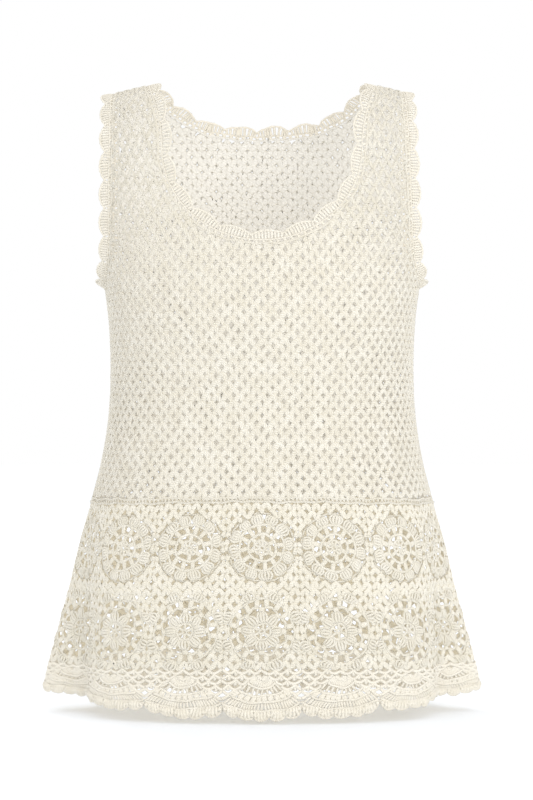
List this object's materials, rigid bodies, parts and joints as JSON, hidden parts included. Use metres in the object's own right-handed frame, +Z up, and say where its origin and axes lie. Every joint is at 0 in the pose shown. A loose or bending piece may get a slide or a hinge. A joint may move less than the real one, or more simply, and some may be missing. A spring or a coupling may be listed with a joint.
{
  "type": "sleeveless crocheted top",
  "caption": "Sleeveless crocheted top, filled out and hollow, with a scoop neck, scalloped edgings, a net body and a flared border of round motifs above a shell hem.",
  "frame": {"origin": "midway between the two shoulders, at the height of the neck's sides, where the wearer's shoulders hold the garment", "axes": "+Z up, the front faces -Y, +X towards the wearer's left"},
  "size_m": [0.437, 0.2347, 0.6236],
  "materials": {
    "net": "matt cotton yarn in an open net",
    "motif": "matt cotton yarn in round motifs",
    "edging": "matt cotton yarn, worked close"
  },
  "bodies": {
    "root": {"back_body": "net", "front_body": "net", "hem_fan_01": "edging", "hem_fan_02": "edging", "hem_fan_03": "edging", "hem_fan_04": "edging", "hem_fan_05": "edging", "hem_fan_06": "edging", "hem_fan_07": "edging", "hem_fan_08": "edging", "hem_fan_09": "edging", "hem_fan_10": "edging", "hem_fan_11": "edging", "hem_fan_12": "edging", "hem_fan_13": "edging", "hem_fan_14": "edging", "left_armhole_edging": "edging", "lower_motif_01": "motif", "lower_motif_02": "motif", "lower_motif_03": "motif", "lower_motif_04": "motif", "lower_motif_05": "motif", "lower_motif_06": "motif", "lower_motif_07": "motif", "lower_motif_08": "motif", "lower_motif_09": "motif", "lower_motif_10": "motif", "lower_motif_11": "motif", "lower_motif_12": "motif", "lower_motif_13": "motif", "lower_motif_14": "motif", "neck_edging": "edging", "right_armhole_edging": "edging", "upper_motif_01": "motif", "upper_motif_02": "motif", "upper_motif_03": "motif", "upper_motif_04": "motif", "upper_motif_05": "motif", "upper_motif_06": "motif", "upper_motif_07": "motif", "upper_motif_08": "motif", "upper_motif_09": "motif", "upper_motif_10": "motif", "upper_motif_11": "motif", "upper_motif_12": "motif", "upper_motif_13": "motif", "upper_motif_14": "motif"}
  },
  "joints": []
}
